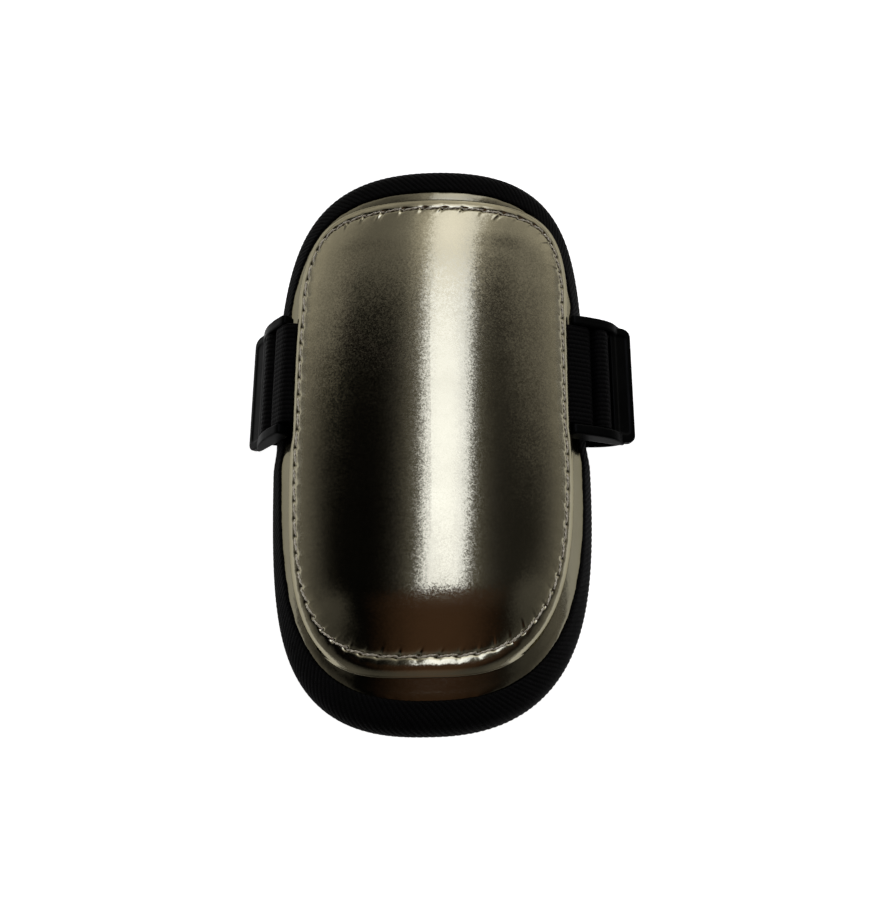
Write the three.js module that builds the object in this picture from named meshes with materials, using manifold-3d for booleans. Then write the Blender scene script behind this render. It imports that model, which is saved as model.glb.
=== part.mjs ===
// Arm guard for ball sports: a padded arch that straps over the outside of the elbow.
// Millimetres, +Z up. The guard lies on its side rims as it would on a table, the arm
// hollow below it open along Y, with the far, squarer end at +Y.
import * as THREE from "three";
import { mergeVertices } from "three/addons/utils/BufferGeometryUtils.js";
import Module from "manifold-3d";

const wasm = await Module();
wasm.setup();

const degrees = (a) => (a * Math.PI) / 180;

// ---------------------------------------------------------------- driving sizes
const STATIONS = 80; // points round every outline
const GAP = 0.3; // clearance between neighbouring pieces

// Arch: the slope of the pad grows from the crown to the rim as a mix of s and s^3.
const HALF_GIRTH = 71.9; // crown to rim, measured over the surface
const RIM_SLOPE = degrees(71.5);
const CUBIC_SHARE = 0.182;
const TAPER = 0.028; // the far end is wider, share of the width per 100 mm
const LEAN = 2.95; // sideways sweep of the ends, 95 mm from the middle
const LEAN_POWER = 2.5;

// Flat patterns, each made of two half superellipses that share one width. The sweep leans
// a pattern sideways, in mm per 100 mm of length.
const OUTLINES = {
  rim: { half: 70.1, near: 100.7, far: 99.8, nearPower: 2.33, farPower: 3.27, sweep: -0.6 },
  panel: { half: 51.7, near: 84.3, far: 86.9, nearPower: 2.94, farPower: 5.1, sweep: 1.8 },
};
const PATTERN_CENTRE = -1.6; // along the guard, from the crown reference

// Where the strap pulls, the soft rim is pushed in by this much girth, the panel by a share.
const STRAP_DENT = { depth: 2.9, flat: 21.5, ramp: 9.5, panelShare: 0.5 };

// Base pad: heights over the arch from the rim inward. The tape sits in a shallow step.
const PAD_EDGE = [
  { inset: 3.3, height: -7.6 },
  { inset: 1.2, height: -6.9 },
  { inset: 0.0, height: -4.4 },
  { inset: 1.2, height: -1.9 },
  { inset: 3.3, height: -1.2 },
  { inset: 8.9, height: -1.2 },
  { inset: 9.3, height: 0.0 },
];
const PAD_UNDER = [
  { inset: 24.0, height: -8.8 },
  { inset: 9.3, height: -8.8 },
  { inset: 8.9, height: -7.6 },
];
const PAD_UNDER_SHARES = [0.34, 0.7]; // of the innermost under ring

// Raised panel: its edge rolls up from a thin lip to the seam, then the pillow swells.
const PANEL_ROLL = [
  { inset: 0.0, height: 1.2 },
  { inset: 0.6, height: 3.1 },
  { inset: 2.2, height: 4.7 },
  { inset: 4.4, height: 5.2 },
  { inset: 6.0, height: 4.8 },
  { inset: 8.2, height: 5.5 },
  { inset: 13.0, height: 5.9 },
  { inset: 20.0, height: 6.2 },
];
const PANEL_CROWN = [
  { share: 0.66, height: 6.4 },
  { share: 0.33, height: 6.5 },
];
const PANEL_MIDDLE = 6.5;
const PANEL_FLOOR_INSETS = [0.5, 8.2, 20.0];
const PANEL_FLOOR = 0.55; // underside of the panel over the pad

// Binding tape: a U section folded over the rim, outside then inside.
const TAPE_SECTION = [
  { inset: 8.6, height: 0.3 },
  { inset: 3.2, height: 0.3 },
  { inset: 0.4, height: -0.7 },
  { inset: -1.5, height: -4.4 },
  { inset: 0.4, height: -8.1 },
  { inset: 3.2, height: -9.1 },
  { inset: 8.6, height: -9.1 },
  { inset: 8.6, height: -7.9 },
  { inset: 3.2, height: -7.9 },
  { inset: 1.0, height: -7.2 },
  { inset: -0.3, height: -4.4 },
  { inset: 1.0, height: -1.6 },
  { inset: 3.2, height: -0.9 },
  { inset: 8.6, height: -0.9 },
];

// Buckle, in its own frame: x outward from the panel, y along the slots, z outward face.
const BUCKLE = {
  width: 46.0, railWidth: 3.4, innerBarX: 3.1, innerBarR: 1.1,
  middleBarX: 9.8, middleBarZ: -0.2, middleBarR: 1.3, barFlat: 0.7,
  plateFrom: 14.4, plateTo: 22.6, plateThick: 2.0, cornerR: 3.0,
};
const RAIL_PROFILE = [
  { x: 0.6, z: -2.3 }, { x: 18.0, z: -1.9 }, { x: 17.6, z: -0.4 }, { x: 15.2, z: 1.0 },
  { x: 12.0, z: 2.3 }, { x: 7.0, z: 3.0 }, { x: 1.0, z: 2.9 }, { x: -0.5, z: 2.2 },
  { x: -0.5, z: 0.4 },
];

// How each buckle lies: its inner end beside the crown line, and its tilt down outward.
const SIDES = {
  right: { sign: 1, x: 50.4, z: -17.6, tilt: degrees(20) },
  left: { sign: -1, x: 50.4, z: -17.4, tilt: degrees(52) },
};
const STRAP_Y = 25.2; // middle of the strap along the guard
const STRAP_SKEW = degrees(-1.2); // the left buckle sits a little further along

const WEBBING = { strapWidth: 38.1, strapThick: 1.4, tabWidth: 38.1, tabThick: 1.2 };

// ---------------------------------------------------------------- materials
const leather = new THREE.MeshStandardMaterial({ color: 0xb3aa8a, roughness: 0.28, metalness: 0.9 });
const tape = new THREE.MeshStandardMaterial({ color: 0x0b0b0c, roughness: 0.85, metalness: 0 });
const webbing = new THREE.MeshStandardMaterial({ color: 0x0d0d0f, roughness: 0.8, metalness: 0 });
const plastic = new THREE.MeshStandardMaterial({ color: 0x101113, roughness: 0.4, metalness: 0 });

// ---------------------------------------------------------------- the arch
const ARCH_STEPS = 600;
const ARCH_REACH = 1.1; // the table runs a little past the rim
const archTable = (() => {
  const rows = [{ x: 0, z: 0, slope: 0 }];
  const ds = ARCH_REACH / ARCH_STEPS;
  const slopeAt = (s) => RIM_SLOPE * ((1 - CUBIC_SHARE) * s + CUBIC_SHARE * s ** 3);
  for (let i = 1; i <= ARCH_STEPS; i++) {
    const mid = slopeAt((i - 0.5) * ds);
    const last = rows[i - 1];
    rows.push({
      x: last.x + HALF_GIRTH * ds * Math.cos(mid),
      z: last.z - HALF_GIRTH * ds * Math.sin(mid),
      slope: slopeAt(i * ds),
    });
  }
  return rows;
})();

/** Place a pattern point (u across, v along) at a height over the arch. */
function onArch(u, v, height) {
  const s = Math.min(Math.abs(u) / HALF_GIRTH, ARCH_REACH) / (ARCH_REACH / ARCH_STEPS);
  const i = Math.min(Math.floor(s), ARCH_STEPS - 1);
  const a = archTable[i];
  const b = archTable[i + 1];
  const mix = (key) => a[key] + (b[key] - a[key]) * (s - i);
  const slope = mix("slope");
  const side = Math.sign(u);
  const lean = LEAN * Math.sign(v) * Math.abs(v / 95) ** LEAN_POWER;
  return new THREE.Vector3(
    side * (mix("x") + height * Math.sin(slope)) + lean,
    v,
    mix("z") + height * Math.cos(slope),
  );
}

// ---------------------------------------------------------------- flat outlines
function superellipsePoint(o, angle) {
  const c = Math.cos(angle);
  const s = Math.sin(angle);
  const power = 2 / (s >= 0 ? o.farPower : o.nearPower);
  const reach = s >= 0 ? o.far : o.near;
  return new THREE.Vector2(
    o.half * Math.sign(c) * Math.abs(c) ** power,
    reach * Math.sign(s) * Math.abs(s) ** power,
  );
}

/** Outline points at even steps of length, each with its outward direction. */
function outlineStations(o) {
  const dense = [];
  const count = 4000;
  for (let i = 0; i <= count; i++) dense.push(superellipsePoint(o, (2 * Math.PI * i) / count));
  const run = [0];
  for (let i = 1; i <= count; i++) run.push(run[i - 1] + dense[i].distanceTo(dense[i - 1]));
  const stations = [];
  let j = 0;
  for (let k = 0; k < STATIONS; k++) {
    const want = (run[count] * k) / STATIONS;
    while (run[j + 1] < want) j++;
    const t = (want - run[j]) / (run[j + 1] - run[j]);
    const p = dense[j].clone().lerp(dense[j + 1], t);
    const power = p.y >= 0 ? o.farPower : o.nearPower;
    const reach = p.y >= 0 ? o.far : o.near;
    const out = new THREE.Vector2(
      (Math.sign(p.x) * Math.abs(p.x / o.half) ** (power - 1)) / o.half,
      (Math.sign(p.y) * Math.abs(p.y / reach) ** (power - 1)) / reach,
    ).normalize();
    stations.push({ p, out });
  }
  return stations;
}
const stations = { rim: outlineStations(OUTLINES.rim), panel: outlineStations(OUTLINES.panel) };

function strapDent(v) {
  const away = Math.abs(v - STRAP_Y) - STRAP_DENT.flat;
  if (away <= 0) return STRAP_DENT.depth;
  if (away >= STRAP_DENT.ramp) return 0;
  return STRAP_DENT.depth * 0.5 * (1 + Math.cos((Math.PI * away) / STRAP_DENT.ramp));
}

/** Pattern points of one outline, moved inward and then shrunk about its middle. */
function patternRing(name, inset, share = 1) {
  return stations[name].map(({ p, out }) => {
    const q = p.clone().addScaledVector(out, -inset).multiplyScalar(share);
    const v = q.y + PATTERN_CENTRE;
    const widened = q.x * (1 + (TAPER * v) / 100);
    const pull = name === "rim" ? Math.min(1, Math.abs(q.x) / 40) : STRAP_DENT.panelShare * (q.x / 52) ** 2;
    const dent = strapDent(v) * pull;
    return { u: widened - Math.sign(q.x) * dent + (OUTLINES[name].sweep * v) / 100, v };
  });
}
const ring = (name, inset, height, share = 1) =>
  patternRing(name, inset, share).map(({ u, v }) => onArch(u, v, height));

// ---------------------------------------------------------------- closed skins
function meshGeometry(points, triangles) {
  const g = new THREE.BufferGeometry();
  g.setAttribute("position", new THREE.Float32BufferAttribute(points.flatMap((p) => [p.x, p.y, p.z]), 3));
  g.setIndex(triangles);
  g.computeVertexNormals();
  return g;
}

/** Skin through rings stacked from a lower pole to an upper pole. */
function polarSkin(lowerPole, rings, upperPole) {
  const points = [lowerPole, ...rings.flat(), upperPole];
  const at = (r, k) => 1 + r * STATIONS + (k % STATIONS);
  const triangles = [];
  for (let k = 0; k < STATIONS; k++) {
    triangles.push(0, at(0, k + 1), at(0, k));
    for (let r = 0; r + 1 < rings.length; r++) {
      triangles.push(at(r, k), at(r, k + 1), at(r + 1, k + 1), at(r, k), at(r + 1, k + 1), at(r + 1, k));
    }
    triangles.push(at(rings.length - 1, k), at(rings.length - 1, k + 1), points.length - 1);
  }
  return meshGeometry(points, triangles);
}

/** Skin of a closed section carried once round: rings close on the first one. */
function loopSkin(rings) {
  const points = rings.flat();
  const at = (r, k) => (r % rings.length) * STATIONS + (k % STATIONS);
  const triangles = [];
  for (let r = 0; r < rings.length; r++) {
    for (let k = 0; k < STATIONS; k++) {
      triangles.push(at(r, k), at(r + 1, k + 1), at(r, k + 1), at(r, k), at(r + 1, k), at(r + 1, k + 1));
    }
  }
  return meshGeometry(points, triangles);
}

// ---------------------------------------------------------------- soft pieces
const middle = (height) => onArch(0, PATTERN_CENTRE, height);

const panelCoreInset = PANEL_ROLL[PANEL_ROLL.length - 1].inset;
const panelFloor = (height) => [
  ...PANEL_CROWN.map(({ share }) => ring("panel", panelCoreInset, height, share)).reverse(),
  ...[...PANEL_FLOOR_INSETS].reverse().map((inset) => ring("panel", inset, height)),
];

// The pad's face repeats the panel floor's rings, so the two stay parallel.
const padUnderCore = PAD_UNDER[0];
const basePadSkin = polarSkin(
  middle(padUnderCore.height),
  [
    ...PAD_UNDER_SHARES.map((share) => ring("rim", padUnderCore.inset, padUnderCore.height, share)),
    ...[...PAD_UNDER, ...PAD_EDGE].map(({ inset, height }) => ring("rim", inset, height)),
    ...panelFloor(0).reverse(),
  ],
  middle(0),
);

const shellPanelSkin = polarSkin(
  middle(PANEL_FLOOR),
  [
    ...panelFloor(PANEL_FLOOR),
    ...PANEL_ROLL.map(({ inset, height }) => ring("panel", inset, height)),
    ...PANEL_CROWN.map(({ share, height }) => ring("panel", panelCoreInset, height, share)),
  ],
  middle(PANEL_MIDDLE),
);

const edgeBindingSkin = loopSkin(TAPE_SECTION.map(({ inset, height }) => ring("rim", inset, height)));

// The guard stands on the lowest line of its taped rim.
edgeBindingSkin.computeBoundingBox();
const CROWN_HEIGHT = -edgeBindingSkin.boundingBox.min.z;

// ---------------------------------------------------------------- prisms along Y
/** Extrude an outline drawn in x, z along y, centred on y = 0. */
function prismAlongY(outline, width) {
  const shape = new THREE.Shape(outline.map(({ x, z }) => new THREE.Vector2(x, z)));
  const g = new THREE.ExtrudeGeometry(shape, { depth: width, bevelEnabled: false, steps: 1 });
  g.rotateX(Math.PI / 2);
  g.translate(0, width / 2, 0);
  return g;
}

function toSolid(geometry) {
  const g = geometry.clone();
  for (const name of Object.keys(g.attributes)) if (name !== "position") g.deleteAttribute(name);
  const merged = mergeVertices(g, 1e-4);
  return new wasm.Manifold(new wasm.Mesh({
    numProp: 3,
    vertProperties: new Float32Array(merged.attributes.position.array),
    triVerts: new Uint32Array(merged.index.array),
  }));
}

function fromSolid(solid) {
  const m = solid.getMesh();
  const g = new THREE.BufferGeometry();
  const xyz = new Float32Array(m.numVert * 3);
  for (let i = 0; i < m.numVert; i++) {
    for (let c = 0; c < 3; c++) xyz[3 * i + c] = m.vertProperties[i * m.numProp + c];
  }
  g.setAttribute("position", new THREE.BufferAttribute(xyz, 3));
  g.setIndex(new THREE.BufferAttribute(new Uint32Array(m.triVerts), 1));
  g.computeVertexNormals();
  return g;
}

const arc = (cx, cz, r, from, to, steps) =>
  Array.from({ length: steps + 1 }, (_, i) => {
    const a = degrees(from + ((to - from) * i) / steps);
    return { x: cx + r * Math.cos(a), z: cz + r * Math.sin(a) };
  });

// ---------------------------------------------------------------- buckle
function buckleGeometry() {
  const b = BUCKLE;
  const railY = (b.width - b.railWidth) / 2;
  const rail = prismAlongY(RAIL_PROFILE, b.railWidth);
  const flatBar = (x, z, r) => [...arc(x + b.barFlat, z, r, -90, 90, 6), ...arc(x, z, r, 90, 270, 6)];
  const innerBar = prismAlongY(flatBar(b.innerBarX, 0, b.innerBarR), b.width - 1);
  const middleBar = prismAlongY(flatBar(b.middleBarX, b.middleBarZ, b.middleBarR), b.width - 1);
  const half = b.plateThick / 2;
  const plate = prismAlongY([
    ...arc(b.plateFrom + half, -half, half, 90, 270, 6),
    { x: b.plateTo - 0.7, z: -b.plateThick - 0.5 },
    { x: b.plateTo, z: -b.plateThick + 0.1 },
    { x: b.plateTo, z: -0.9 },
    { x: b.plateTo - 0.7, z: -0.3 },
  ], b.width - 0.6);
  let solid = toSolid(rail.clone().translate(0, railY, 0))
    .add(toSolid(rail.clone().translate(0, -railY, 0)))
    .add(toSolid(innerBar)).add(toSolid(middleBar)).add(toSolid(plate));
  // Round the outer corners of the footprint.
  const y = b.width / 2 + 0.01;
  const corner = (cx, cy, from) => Array.from({ length: 6 }, (_, i) => {
    const a = degrees(from + i * 18);
    return new THREE.Vector2(cx + b.cornerR * Math.cos(a), cy + b.cornerR * Math.sin(a));
  });
  const footprint = new THREE.Shape([
    new THREE.Vector2(-2, -y),
    ...corner(b.plateTo + 0.01 - b.cornerR, -y + b.cornerR, -90),
    ...corner(b.plateTo + 0.01 - b.cornerR, y - b.cornerR, 0),
    new THREE.Vector2(-2, y),
  ]);
  const cutter = new THREE.ExtrudeGeometry(footprint, { depth: 20, bevelEnabled: false, steps: 1 });
  cutter.translate(0, 0, -10);
  solid = solid.intersect(toSolid(cutter));
  return fromSolid(solid);
}

// ---------------------------------------------------------------- webbing
/** Side view of a band of even thickness along a path in x, z. */
function bandOutline(path, thick) {
  const side = (offset) => path.map((p, i) => {
    const a = path[Math.max(i - 1, 0)];
    const b = path[Math.min(i + 1, path.length - 1)];
    const l = Math.hypot(b.x - a.x, b.z - a.z);
    return { x: p.x - ((b.z - a.z) / l) * offset, z: p.z + ((b.x - a.x) / l) * offset };
  });
  return [...side(-thick / 2), ...side(thick / 2).reverse()];
}

// The tab goes over the inner bar and back beneath it, its ends tucked by the panel.
const TAB = { topFrom: -2.0, underFrom: -0.9 };
const tabReach = BUCKLE.innerBarR + GAP + WEBBING.tabThick / 2;
const tabPath = [
  { x: TAB.topFrom, z: tabReach },
  ...arc(BUCKLE.innerBarX + BUCKLE.barFlat, 0, tabReach, 90, -90, 10),
  { x: TAB.underFrom, z: -tabReach },
];

// One end of the strap in the buckle's frame: up past the plate's inner edge, over the
// middle bar, and down the inner slot to a short sewn end.
const SLOT_GAP = 0.4;
const strapReach = BUCKLE.middleBarR + SLOT_GAP + WEBBING.strapThick / 2;
const plateEdgeR = BUCKLE.plateThick / 2 + SLOT_GAP + WEBBING.strapThick / 2;
const STRAP_END = { below: -2.3, edgeX: 15.4 };
const strapEndPath = (leaveX) => [
  { x: BUCKLE.middleBarX - strapReach, z: STRAP_END.below },
  ...arc(BUCKLE.middleBarX, BUCKLE.middleBarZ, strapReach, 180, 90, 5),
  ...arc(BUCKLE.middleBarX + BUCKLE.barFlat, BUCKLE.middleBarZ, strapReach, 90, 14, 5),
  ...arc(STRAP_END.edgeX, -BUCKLE.plateThick / 2, plateEdgeR, 190, 270, 5),
  { x: leaveX, z: -BUCKLE.plateThick / 2 - plateEdgeR },
];

const place = (side, { x, z }) => ({
  x: side.sign * (side.x + x * Math.cos(side.tilt) + z * Math.sin(side.tilt)),
  z: CROWN_HEIGHT + side.z - x * Math.sin(side.tilt) + z * Math.cos(side.tilt),
});

// From the plate the strap turns down and in under the rim, then lies flat to the middle.
const FLOOR_RUN = {
  right: { leaveX: 17.8, from: 57, out: 13.5, down: 7 },
  left: { leaveX: 16.3, from: 52, out: 8.0, down: 2.2 },
};
function strapHalf(name) {
  const side = SIDES[name];
  const run = FLOOR_RUN[name];
  const flatZ = WEBBING.strapThick / 2;
  const end = strapEndPath(run.leaveX).map((p) => place(side, p));
  const last = end[end.length - 1];
  const before = end[end.length - 2];
  const l = Math.hypot(last.x - before.x, last.z - before.z);
  const turn = new THREE.CubicBezierCurve(
    new THREE.Vector2(last.x, last.z),
    new THREE.Vector2(last.x + ((last.x - before.x) / l) * run.down, last.z + ((last.z - before.z) / l) * run.down),
    new THREE.Vector2(side.sign * (run.from + run.out), flatZ),
    new THREE.Vector2(side.sign * run.from, flatZ),
  );
  return [...end, ...turn.getSpacedPoints(10).slice(1).map((p) => ({ x: p.x, z: p.y }))];
}
const strapPath = [...strapHalf("left"), ...strapHalf("right").reverse()];

// ---------------------------------------------------------------- assembly
function piece(name, geometry, material) {
  const m = new THREE.Mesh(geometry, material);
  m.name = name;
  return m;
}

const guard = new THREE.Group();
for (const m of [
  piece("base_pad", basePadSkin, leather),
  piece("shell_panel", shellPanelSkin, leather),
  piece("edge_binding", edgeBindingSkin, tape),
]) {
  m.position.z = CROWN_HEIGHT;
  guard.add(m);
}

const strapSet = new THREE.Group();
strapSet.position.y = STRAP_Y;
strapSet.rotation.z = STRAP_SKEW;
strapSet.add(piece("strap", prismAlongY(bandOutline(strapPath, WEBBING.strapThick), WEBBING.strapWidth), webbing));
for (const [name, side] of Object.entries(SIDES)) {
  const turned = new THREE.Group(); // the left set is the right one turned half round
  turned.rotation.z = side.sign > 0 ? 0 : Math.PI;
  const tilted = new THREE.Group();
  tilted.position.set(side.x, 0, CROWN_HEIGHT + side.z);
  tilted.rotation.y = side.tilt;
  tilted.add(piece(`buckle_${name}`, buckleGeometry(), plastic));
  tilted.add(piece(`tab_${name}`, prismAlongY(bandOutline(tabPath, WEBBING.tabThick), WEBBING.tabWidth), webbing));
  turned.add(tilted);
  strapSet.add(turned);
}
guard.add(strapSet);

// The origin is the middle of the whole guard's footprint.
guard.updateMatrixWorld(true);
const box = new THREE.Box3().setFromObject(guard, true);
guard.position.set(-(box.min.x + box.max.x) / 2, -(box.min.y + box.max.y) / 2, 0);

export default guard;
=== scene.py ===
"""Looks of the elbow guard: leather panel and pad, taped rim, webbing and buckles.

Everything is worked out in millimetres in the guard's own pattern (u across, v along,
height over the arch) and put into the shared frame in metres.
"""
import math

import bmesh
import bpy
import numpy as np
from mathutils import Matrix, Vector


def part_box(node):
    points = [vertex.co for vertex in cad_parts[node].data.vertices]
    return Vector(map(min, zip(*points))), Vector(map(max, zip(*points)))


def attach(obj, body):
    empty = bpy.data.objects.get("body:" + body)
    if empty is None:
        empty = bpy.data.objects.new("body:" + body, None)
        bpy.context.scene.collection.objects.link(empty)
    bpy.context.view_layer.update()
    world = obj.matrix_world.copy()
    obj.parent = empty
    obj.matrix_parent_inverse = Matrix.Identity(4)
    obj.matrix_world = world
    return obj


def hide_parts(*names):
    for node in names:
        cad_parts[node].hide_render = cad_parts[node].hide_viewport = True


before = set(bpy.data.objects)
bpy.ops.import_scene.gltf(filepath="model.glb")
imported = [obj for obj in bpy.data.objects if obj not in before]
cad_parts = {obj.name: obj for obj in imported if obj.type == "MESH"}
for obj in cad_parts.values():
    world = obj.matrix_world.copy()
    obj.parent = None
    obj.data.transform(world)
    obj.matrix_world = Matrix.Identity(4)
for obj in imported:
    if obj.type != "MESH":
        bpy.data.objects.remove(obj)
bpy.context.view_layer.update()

MM = 0.001
RNG = np.random.default_rng(20)

# ------------------------------------------------------------------ sizes, mm
HALF_GIRTH = 71.9
RIM_SLOPE = math.radians(71.5)
CUBIC_SHARE = 0.182
TAPER = 0.028
LEAN, LEAN_POWER = 2.95, 2.5
PATTERN_CENTRE = -1.6
OUTLINES = {
    "rim": dict(half=70.1, near=100.7, far=99.8, near_power=2.33, far_power=3.27, sweep=-0.6),
    "panel": dict(half=51.7, near=84.3, far=86.9, near_power=2.94, far_power=5.1, sweep=1.8),
}
DENT_DEPTH, DENT_FLAT, DENT_RAMP, DENT_PANEL = 2.9, 21.5, 9.5, 0.3
STRAP_Y = 25.2
STRAP_SKEW = math.radians(-1.2)
FRAME_X, FRAME_Y = -3.8212, 2.0321  # pattern origin in the shared frame
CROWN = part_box("base_pad")[1].z / MM  # top of the pad under the panel

SEAM_INSET = 5.8
STITCHES = 74


# ------------------------------------------------------------------ pattern to arch
def _arch():
    s = np.linspace(0, 1.15, 4001)
    slope = RIM_SLOPE * ((1 - CUBIC_SHARE) * s + CUBIC_SHARE * s**3)
    ds = s[1] - s[0]
    mid = 0.5 * (slope[1:] + slope[:-1])
    x = np.concatenate([[0], np.cumsum(np.cos(mid))]) * ds * HALF_GIRTH
    z = -np.concatenate([[0], np.cumsum(np.sin(mid))]) * ds * HALF_GIRTH
    return s * HALF_GIRTH, slope, x, z


ARCH_U, ARCH_SLOPE, ARCH_X, ARCH_Z = _arch()


def on_arch(u, v, h):
    """Points in mm in the shared frame for pattern places and heights (arrays)."""
    u, v, h = np.broadcast_arrays(
        np.asarray(u, float), np.asarray(v, float), np.asarray(h, float)
    )
    a = np.abs(u)
    slope = np.interp(a, ARCH_U, ARCH_SLOPE)
    x = np.interp(a, ARCH_U, ARCH_X) + h * np.sin(slope)
    z = np.interp(a, ARCH_U, ARCH_Z) + h * np.cos(slope)
    lean = LEAN * np.sign(v) * np.abs(v / 95) ** LEAN_POWER
    return np.stack([np.sign(u) * x + lean + FRAME_X, v + FRAME_Y, z + CROWN], -1)


def _outline(o, count):
    """Even stations round a flat pattern: places, outward directions, length."""
    t = np.linspace(0, 2 * np.pi, 40001)
    c, s = np.cos(t), np.sin(t)
    power = 2 / np.where(s >= 0, o["far_power"], o["near_power"])
    reach = np.where(s >= 0, o["far"], o["near"])
    p = np.stack(
        [o["half"] * np.sign(c) * np.abs(c) ** power, reach * np.sign(s) * np.abs(s) ** power], -1
    )
    run = np.concatenate([[0], np.cumsum(np.hypot(*np.diff(p, axis=0).T))])
    want = np.linspace(0, run[-1], count, endpoint=False)
    q = np.stack([np.interp(want, run, p[:, i]) for i in (0, 1)], -1)
    power = np.where(q[:, 1] >= 0, o["far_power"], o["near_power"])
    reach = np.where(q[:, 1] >= 0, o["far"], o["near"])
    out = np.stack(
        [
            np.sign(q[:, 0]) * np.abs(q[:, 0] / o["half"]) ** (power - 1) / o["half"],
            np.sign(q[:, 1]) * np.abs(q[:, 1] / reach) ** (power - 1) / reach,
        ],
        -1,
    )
    return q, out / np.linalg.norm(out, axis=1, keepdims=True), run[-1]


def strap_dent(v):
    away = np.clip((np.abs(v - STRAP_Y) - DENT_FLAT) / DENT_RAMP, 0, 1)
    return DENT_DEPTH * 0.5 * (1 + np.cos(np.pi * away))


class Pattern:
    """One outline sampled at even stations, with rings inside or outside it."""

    def __init__(self, name, count):
        self.name = name
        self.q, self.out, self.length = _outline(OUTLINES[name], count)

    def flat(self, inset):
        """Pattern places (u, v) of the ring at that inset."""
        p = self.q - self.out * np.reshape(inset, (-1, 1))
        v = p[:, 1] + PATTERN_CENTRE
        u = p[:, 0] * (1 + TAPER * v / 100)
        pull = np.minimum(1, np.abs(p[:, 0]) / 40) if self.name == "rim" else DENT_PANEL * (p[:, 0] / 52) ** 2
        return u - np.sign(u) * strap_dent(v) * pull + OUTLINES[self.name]["sweep"] * v / 100, v


def smooth_curve(rows, steps):
    """Even points on a smooth curve through short rows of (inset, height)."""
    k = np.asarray(rows, float)
    run = np.concatenate([[0], np.cumsum(np.hypot(*np.diff(k, axis=0).T))])
    tang = np.gradient(k, run, axis=0)
    t = np.linspace(0, run[-1], 4000)
    i = np.clip(np.searchsorted(run, t, side="right") - 1, 0, len(run) - 2)
    w = run[i + 1] - run[i]
    f = ((t - run[i]) / w)[:, None]
    w = w[:, None]
    p = (
        (2 * f**3 - 3 * f**2 + 1) * k[i]
        + (f**3 - 2 * f**2 + f) * w * tang[i]
        + (-2 * f**3 + 3 * f**2) * k[i + 1]
        + (f**3 - f**2) * w * tang[i + 1]
    )
    length = np.concatenate([[0], np.cumsum(np.hypot(*np.diff(p, axis=0).T))])
    want = np.linspace(0, length[-1], steps)
    return np.stack([np.interp(want, length, p[:, j]) for j in (0, 1)], -1)


def soft_noise(u, v, seed, size, octaves=3):
    """Smooth irregular waves over the pattern, about -1 to 1, of a given size in mm."""
    rng = np.random.default_rng(seed)
    total = np.zeros(np.broadcast(u, v).shape)
    for o in range(octaves):
        for _ in range(5):
            a = rng.uniform(0, 2 * np.pi)
            k = 2 * np.pi / (size * rng.uniform(0.75, 1.35) / 2**o)
            total += np.sin(k * (np.cos(a) * u + np.sin(a) * v) + rng.uniform(0, 6.28)) / 2**o
    return total / 5.0


# ------------------------------------------------------------------ mesh helpers
def new_object(name, points, faces, smooth=True):
    me = bpy.data.meshes.new(name)
    me.from_pydata([tuple(p) for p in (np.asarray(points) * MM)], [], faces)
    me.validate(clean_customdata=False)
    me.update()
    if smooth:
        me.polygons.foreach_set("use_smooth", np.ones(len(me.polygons), bool))
    ob = bpy.data.objects.new(name, me)
    bpy.context.scene.collection.objects.link(ob)
    return ob


def ring_faces(rows, n, first=0):
    """Quads between stacked closed rings of n points."""
    k = np.arange(n)
    k1 = (k + 1) % n
    out = []
    for r in range(rows - 1):
        a = first + r * n
        b = a + n
        out.append(np.stack([a + k, a + k1, b + k1, b + k], 1))
    return np.concatenate(out)


def weld(ob, dist=1e-5):
    bm = bmesh.new()
    bm.from_mesh(ob.data)
    bmesh.ops.remove_doubles(bm, verts=bm.verts, dist=dist)
    bmesh.ops.recalc_face_normals(bm, faces=bm.faces)
    bm.to_mesh(ob.data)
    bm.free()
    ob.data.update()


def add_map(ob, name, places):
    """A named map of per-vertex places, used by the weave of bands and tape."""
    me = ob.data
    layer = me.uv_layers.new(name=name)
    index = np.zeros(len(me.loops), int)
    me.loops.foreach_get("vertex_index", index)
    layer.data.foreach_set("uv", np.asarray(places, float)[index].ravel())


# ------------------------------------------------------------------ materials
def material(name):
    m = bpy.data.materials.new(name)
    m.use_nodes = True
    t = m.node_tree
    bsdf = next(n for n in t.nodes if n.type == "BSDF_PRINCIPLED")
    return m, t, bsdf


def node(t, kind, **inputs):
    n = t.nodes.new(kind)
    for key, value in inputs.items():
        if hasattr(n, key) and key not in n.inputs:
            setattr(n, key, value)
        else:
            n.inputs[key].default_value = value
    return n


def noise(t, vector, scale, detail=3.0, rough=0.55):
    n = t.nodes.new("ShaderNodeTexNoise")
    n.inputs["Scale"].default_value = scale
    n.inputs["Detail"].default_value = detail
    n.inputs["Roughness"].default_value = rough
    t.links.new(vector, n.inputs["Vector"])
    return n.outputs["Fac"]


def remap(t, value, a, b, lo, hi):
    n = t.nodes.new("ShaderNodeMapRange")
    n.inputs["From Min"].default_value = a
    n.inputs["From Max"].default_value = b
    n.inputs["To Min"].default_value = lo
    n.inputs["To Max"].default_value = hi
    t.links.new(value, n.inputs["Value"])
    return n.outputs["Result"]


def maths(t, op, a, b=None):
    n = t.nodes.new("ShaderNodeMath")
    n.operation = op
    for i, x in enumerate((a, b)):
        if x is None:
            continue
        if isinstance(x, (int, float)):
            n.inputs[i].default_value = x
        else:
            t.links.new(x, n.inputs[i])
    return n.outputs[0]


def bump(t, height, strength, distance, under=None):
    n = t.nodes.new("ShaderNodeBump")
    n.inputs["Strength"].default_value = strength
    n.inputs["Distance"].default_value = distance
    t.links.new(height, n.inputs["Height"])
    if under is not None:
        t.links.new(under, n.inputs["Normal"])
    return n.outputs["Normal"]


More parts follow.
